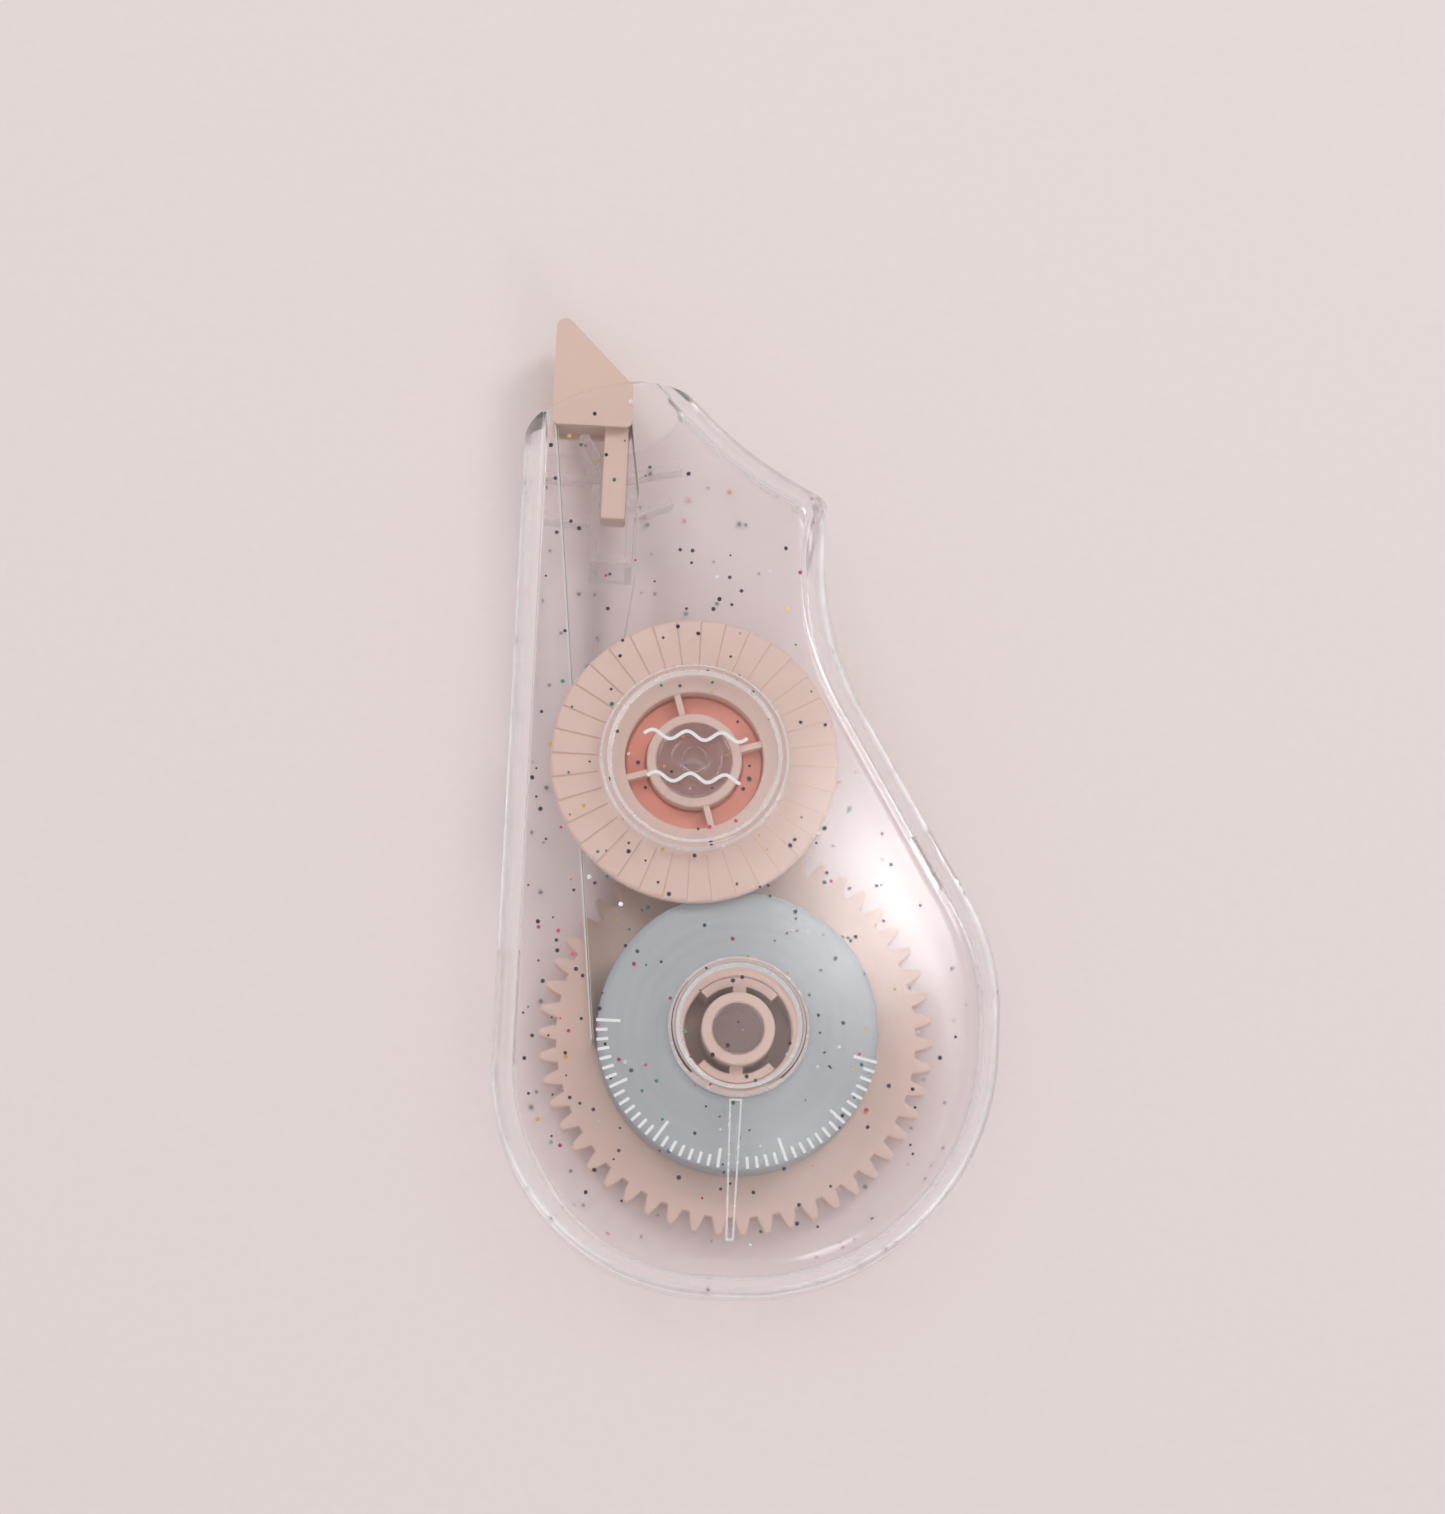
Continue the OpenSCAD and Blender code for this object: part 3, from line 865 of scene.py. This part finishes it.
def buildTakeupSpool(look):
    shape, size = takeupSpool, extent("takeup_spool")
    low, flat = size["low"], shape["flangeTop"]
    rim, edge, rise = size["radius"], shape["edge"], shape["pleatRise"]
    crests = [(0, 0), (0.06, 0), (0.5, 0.5), (0.93, 1)]  # share of a pleat, share of its rise
    rings = [(shape["window"], low, 0), (shape["window"], flat - edge, 0),
             (shape["window"] + edge, flat, 0), (shape["pleatFrom"] - 0.25, flat, 0),
             (shape["pleatFrom"], flat, 0), (shape["pleatFrom"] + 0.4, flat, 1),
             (rim - 0.35, flat, 1), (rim - edge, flat - 0.02, 0.25), (rim, flat - edge - 0.02, 0),
             (rim, shape["flangeLow"] + edge, 0), (rim - edge, shape["flangeLow"], 0),
             (shape["drum"] + edge, shape["flangeLow"], 0),
             (shape["drum"], shape["flangeLow"] - edge, 0), (shape["drum"], low, 0)]
    bm = bmesh.new()
    loops = []
    for radius, z, share in rings:
        verts = []
        for pleat in range(shape["pleats"]):
            for along, height in crests:
                angle = 2 * math.pi * (pleat + along) / shape["pleats"]
                verts.append(bm.verts.new((radius * math.cos(angle), radius * math.sin(angle),
                                           z + share * height * rise)))
        loops.append(verts)
    skin(bm, loops + [loops[0]])
    faceOut(bm)
    hub = lathe(tubeProfile(shape["hubIn"], shape["hubOut"], low, flat, edge))
    spokes = []
    for k in range(shape["spokes"]):
        angle = math.radians(shape["spokeTurn"]) + 2 * math.pi * k / shape["spokes"]
        out = Vector((math.cos(angle), math.sin(angle)))
        spokes.append(bar(out * (shape["hubOut"] - 0.25), out * (shape["window"] + 0.25),
                          shape["spokeWidth"], shape["flangeLow"] - 0.8, flat - 0.25, 0.1))
    for part in [hub] + spokes:
        bm = combine(bm, part, "UNION")
    return finishPiece(bm, "takeupSpool", "takeup_reel", [look],
                       ["takeup_spool"], takeupAxle)


def buildTakeupWrap(look):
    size = extent("takeup_wrap")
    bm = lathe(tubeProfile(takeupSpool["drum"] + 0.01, size["radius"], size["low"], size["top"],
                           0.08), 96)
    return finishPiece(bm, "takeupWrap", "takeup_reel", [look], ["takeup_wrap"],
                       takeupAxle)


# ---- the tip and the tape strips

tipShape = {
    "left": -21.3,
    "right": -13.3,
    "foot": 60.2,
    "reach": 71.3,
    "edgeRadius": 0.9,
    "rim": 0.55,
    "guideGap": 0.1,
    "guideThick": 0.6,
    "stemGap": 0.2,
    "stemThick": 3.6,
    "stemReach": 3.0,
    "edge": 0.14,
}


def tipCorners():
    shape = tipShape
    peak = shape["reach"] + shape["edgeRadius"] * (1 / math.tan(math.radians(22.5)) - 1)
    knee = peak - (shape["right"] - shape["left"])
    return [(shape["left"], shape["foot"], 0.6), (shape["right"], shape["foot"], 0.6),
            (shape["right"], knee, 1.0), (shape["left"], peak, shape["edgeRadius"])]


def tipOutline(inset):
    corners = tipCorners()
    return insetLoop(corners, [inset] * 4, [corner[2] - inset for corner in corners], [8] * 4)


def buildTip(look):
    shape, tape = tipShape, extent("tape_roll")
    low = tape["low"] - shape["guideGap"] - shape["guideThick"]
    high = tape["top"] + shape["guideGap"]
    wedge = plate([tipOutline(shape["rim"])], low + 0.2, high + 0.2)
    bm = combine(wedge, plate([tipOutline(0)], low, low + shape["guideThick"], shape["edge"]),
                 "UNION")
    bm = combine(bm, plate([tipOutline(0)], high, high + shape["guideThick"], shape["edge"]),
                 "UNION")
    middle = (caseBack["socketLow"][0] + caseBack["socketHigh"][0]) / 2
    free = caseBack["socketWall"] + shape["stemGap"]
    width = caseBack["socketHigh"][0] - caseBack["socketLow"][0] - 2 * free
    centreZ = (tape["low"] + tape["top"]) / 2
    stem = bar((middle, caseBack["socketHigh"][1] - shape["stemReach"]),
               (middle, shape["foot"] + 1.2), width,
               centreZ - shape["stemThick"] / 2, centreZ + shape["stemThick"] / 2, 0.25)
    bm = combine(bm, stem, "UNION")
    return finishPiece(bm, "applicatorTip", "case", [look],
                       ["applicator_tip"], supplyAxle)


stripShape = {"thick": 0.07, "lift": 0.105, "gap": 0.03, "cadThick": 0.15}


def edgeArc(lift, start, end, steps=12):
    shape = tipShape
    centre = Vector((shape["left"] + shape["edgeRadius"], shape["reach"] - shape["edgeRadius"]))
    radius = shape["edgeRadius"] - shape["rim"] + lift
    points = []
    for k in range(steps + 1):
        angle = math.radians(start + (end - start) * k / steps)
        points.append(centre + radius * Vector((math.cos(angle), math.sin(angle))))
    return points


def leftTangent(point, centre, radius):
    away = Vector(point) - Vector(centre)
    angle = math.atan2(away.y, away.x) + math.acos(radius / away.length)
    return Vector(centre) + radius * Vector((math.cos(angle), math.sin(angle)))


def feedRoute(lift):
    foot = Vector((tipShape["left"] + tipShape["rim"] - lift, tipShape["foot"] + 1))
    start = leftTangent(foot, (0, 0), extent("tape_roll")["radius"] + 0.3 + lift)
    return [start.lerp(foot, k / 12) for k in range(13)] + edgeArc(lift, 180, 90)


def returnRoute(lift):
    low, high = caseBack["socketLow"], caseBack["socketHigh"]
    side = high[0] + 0.4
    heel = Vector((tipShape["right"] - tipShape["rim"] + lift, tipCorners()[2][1] - 0.2))
    end = leftTangent((side, low[1]), takeupFromSupply, extent("takeup_wrap")["radius"] + 0.3)
    return edgeArc(lift, 90, 45) + [heel, Vector((side, high[1])), Vector((side, low[1])), end]


def buildStrip(name, node, look, route):
    tape = extent("tape_roll")
    bm = bmesh.new()
    verts = [bm.verts.new((p.x, p.y, tape["low"])) for p in route]
    edges = [bm.edges.new(pair) for pair in zip(verts, verts[1:])]
    growWall(bm, edges, tape["top"] - tape["low"])
    bmesh.ops.recalc_face_normals(bm, faces=bm.faces)
    bmesh.ops.solidify(bm, geom=bm.faces[:], thickness=stripShape["thick"])
    bmesh.ops.recalc_face_normals(bm, faces=bm.faces)
    return finishPiece(bm, name, "case", [look], [node], supplyAxle, sharp=50)


# ---- glitter in the walls and print on the face

glitter = {
    "seed": 7,
    "frontCount": 300,
    "backCount": 170,
    "sideCount": 190,
    "sizes": (0.11, 0.25),
    "thick": 0.03,
    "tilt": 28,
    "shares": [0.62, 0.12, 0.1, 0.08, 0.08],
}


def inside(point, loop):  # whether a point lies in a closed outline
    hit = False
    for k, a in enumerate(loop):
        b = loop[k - 1]
        if (a[1] > point[1]) != (b[1] > point[1]):
            if point[0] < a[0] + (b[0] - a[0]) * (point[1] - a[1]) / (b[1] - a[1]):
                hit = not hit
    return hit


def beyondMouth(x, y, margin=0.6):
    centre = Vector(caseShape["mouthCentre"])
    return y > 55 and (Vector((x, y)) - centre).length > caseShape["mouthRadius"] - margin


def buildGlitter(looks):
    shape = glitter
    chance = random.Random(shape["seed"])
    top = extent("front_shell")["top"] - caseShape["windowRise"]
    wall = caseShape["wall"]
    bm = bmesh.new()

    def flake(x, y, z, lean):
        radius = chance.uniform(*shape["sizes"])
        made = bmesh.ops.create_circle(bm, cap_ends=True, segments=6, radius=radius)["verts"]
        turn = Matrix.Rotation(chance.uniform(0, math.pi), 4, "Z")
        tilt = Matrix.Rotation(math.radians(chance.uniform(-shape["tilt"], shape["tilt"])), 4, "X")
        spread = Matrix.Rotation(chance.uniform(0, 2 * math.pi), 4, "Z")
        bmesh.ops.transform(bm, verts=made,
                            matrix=Matrix.Translation((x, y, z)) @ lean @ spread @ tilt @ turn)
        pick = chance.choices(range(len(looks)), shape["shares"])[0]
        for face in {f for v in made for f in v.link_faces}:
            face.material_index = pick

    upright = Matrix.Identity(4)
    for count, area, low, high in (
            (shape["frontCount"], outline(0.6, caseFront["rounding"]), top - wall + 0.2, top - 0.2),
            (shape["backCount"], outline(0.8, caseBack["rounding"]), 0.25, wall - 0.25)):
        made = 0
        while made < count:
            x, y = chance.uniform(-23, 26), chance.uniform(-26, 64)
            if inside((x, y), area) and not beyondMouth(x, y) and not (low < 2 and y > 58.5):
                flake(x, y, chance.uniform(low, high), upright)
                made += 1
    corners = [Vector(p) for p in outline(wall / 2)]
    side = [(corners[k - 1], corners[k]) for k in range(len(corners))]
    lengths = [(b - a).length for a, b in side]
    made = 0
    while made < shape["sideCount"]:
        a, b = chance.choices(side, lengths)[0]
        point = a.lerp(b, chance.random())
        if beyondMouth(point.x, point.y, 1) or point.y > 58:
            continue
        along = b - a
        lean = Matrix.Rotation(math.atan2(along.y, along.x), 4, "Z") @ Matrix.Rotation(
            math.pi / 2, 4, "X")
        z = chance.uniform(1.6, 7.8)
        if abs(z - joint) > 0.35:
            flake(point.x, point.y, z, lean)
            made += 1
    bmesh.ops.solidify(bm, geom=bm.faces[:], thickness=shape["thick"])
    return finishPiece(bm, "glitterFlakes", "case", looks, at=supplyAxle)


printShape = {
    "radius": 13.9,
    "from": 180,
    "to": 348,
    "marks": 43,
    "long": 1.9,
    "short": 1.15,
    "width": 0.3,
    "thick": 0.03,
    "waves": [(2.0, -5.1, 5.1), (-2.2, -4.6, 4.6)],
    "waveHeight": 0.42,
    "wavePitch": 3.4,
    "waveWidth": 0.34,
}


def buildPrint(look):
    shape = printShape
    top = extent("front_shell")["top"]
    face = top - caseShape["windowRise"] + 0.005
    parts = []
    for k in range(shape["marks"]):
        if k % 14 == 0:
            length = shape["long"] * 1.25
        else:
            length = shape["long"] if k % 7 == 0 else shape["short"]
        angle = math.radians(shape["from"] + (shape["to"] - shape["from"]) * k / (shape["marks"] - 1))
        out = Vector((math.cos(angle), math.sin(angle)))
        if abs(out.x) < 0.07:
            continue
        parts.append(bar(out * (shape["radius"] - length), out * shape["radius"], shape["width"],
                         face, face + shape["thick"], 0.008))
    for height, start, end in shape["waves"]:
        steps = 60
        near, far = [], []
        for k in range(steps + 1):
            x = start + (end - start) * k / steps
            turn = 2 * math.pi * (x - start) / shape["wavePitch"]
            y = height + shape["waveHeight"] * math.sin(turn)
            slope = shape["waveHeight"] * 2 * math.pi / shape["wavePitch"] * math.cos(turn)
            away = unitNormal(Vector((1, slope)).normalized()) * shape["waveWidth"] / 2
            middle = Vector((x, y)) + takeupFromSupply
            near.append(tuple(middle + away))
            far.append(tuple(middle - away))
        parts.append(plate([near + far[::-1]], top + 0.005, top + 0.005 + shape["thick"]))
    return finishPiece(gather(parts), "printedMarks", "case", [look],
                       at=supplyAxle)


# ---- putting it together

buildStudio()
print("studio ready")
pink = mouldedLook("pinkPlastic", shade(229, 201, 188), shade(222, 191, 178))
coral = mouldedLook("coralPlastic", shade(250, 170, 150), shade(243, 156, 135), 0.34)
peach = mouldedLook("peachPlastic", shade(226, 198, 184), shade(220, 189, 174))
liner = filmLook("glassineLiner", shade(226, 222, 212), shade(214, 209, 198),
                 {"Transmission Weight": 0.15})
film = filmLook("correctionFilm", shade(250, 250, 250), shade(242, 243, 244), {})
clear = clearLook()
buildSupplyGear(pink)
buildTakeupGear(coral)
buildClutchHub(pink)
buildSupplyCore(pink)
buildTapeRoll()
buildTakeupSpool(pink)
buildTakeupWrap(liner)
print("reels ready")
buildTip(peach)
buildStrip("feedLiner", "feed_liner", liner, feedRoute(stripShape["lift"]))
buildStrip("whiteFilm", "white_film", film,
           feedRoute(stripShape["lift"] + stripShape["gap"] + stripShape["cadThick"]))
buildStrip("returnLiner", "return_liner", liner, returnRoute(stripShape["lift"]))
print("tip and tape ready")
buildCaseBack(clear)
# the front case's second material is the painted highlight on its steps
buildCaseFront([clear, paintedHighlightLook()])
buildGlitter([flakeLook("charcoalFlake", shade(70, 66, 78), 0.4),
              flakeLook("roseFlake", shade(222, 70, 130), 0.5),
              flakeLook("tealFlake", shade(60, 150, 130), 0.5),
              flakeLook("goldFlake", shade(226, 178, 90), 0.8),
              flakeLook("silverFlake", shade(245, 245, 248), 0.8)])
buildPrint(printLook())
print("case ready")
